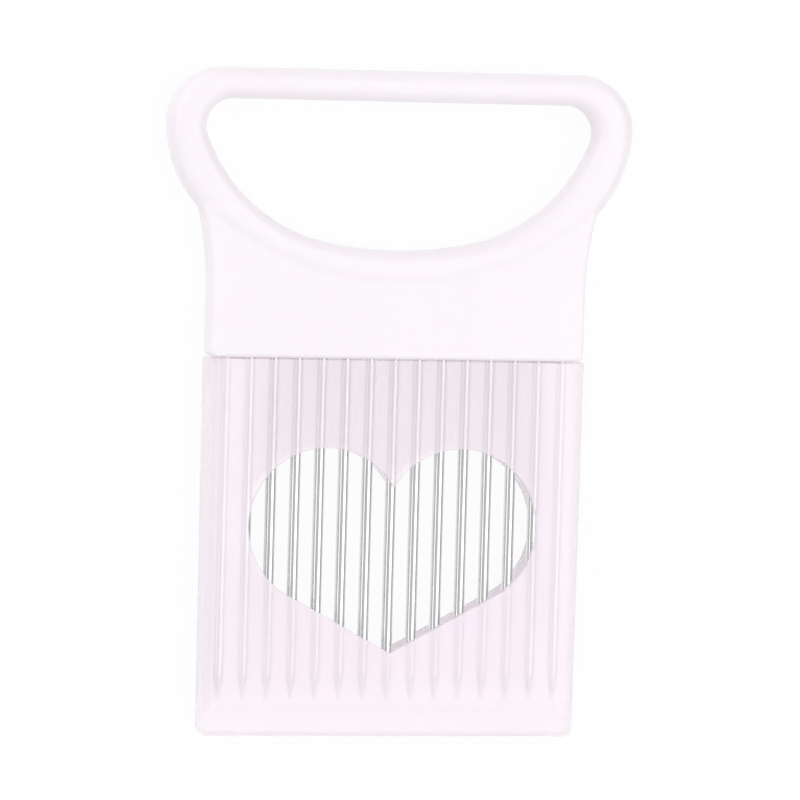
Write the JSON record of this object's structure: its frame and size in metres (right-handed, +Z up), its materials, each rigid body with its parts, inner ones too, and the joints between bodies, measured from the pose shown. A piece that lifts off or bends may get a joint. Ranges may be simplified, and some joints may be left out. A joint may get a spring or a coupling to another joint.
{
  "type": "vegetable holding comb",
  "caption": "Hand-held comb of straight steel tines in a moulded finger-loop handle, with a slip-on translucent sheath that has a heart-shaped window.",
  "frame": {"origin": "under the middle of the tool, on the surface that it lies on", "axes": "+X across the tool, +Y along it from the points to the finger loop, +Z up out of its front"},
  "size_m": [0.0854, 0.1204, 0.008],
  "materials": {
    "handle": "moulded white plastic with a faint lilac tint, soft gloss",
    "tines": "polished stainless wire",
    "sheath": "hazy translucent plastic"
  },
  "bodies": {
    "comb": {"handle": "handle", "tine_01": "tines", "tine_02": "tines", "tine_03": "tines", "tine_04": "tines", "tine_05": "tines", "tine_06": "tines", "tine_07": "tines", "tine_08": "tines", "tine_09": "tines", "tine_10": "tines", "tine_11": "tines", "tine_12": "tines", "tine_13": "tines", "tine_14": "tines", "tine_15": "tines"},
    "sheath": {"sheath": "sheath"}
  },
  "joints": [
    {"name": "sheath_slide", "type": "slide", "parent": "comb", "child": "sheath", "axis": [0, -1, 0], "range_m": [0, 0.075]}
  ]
}
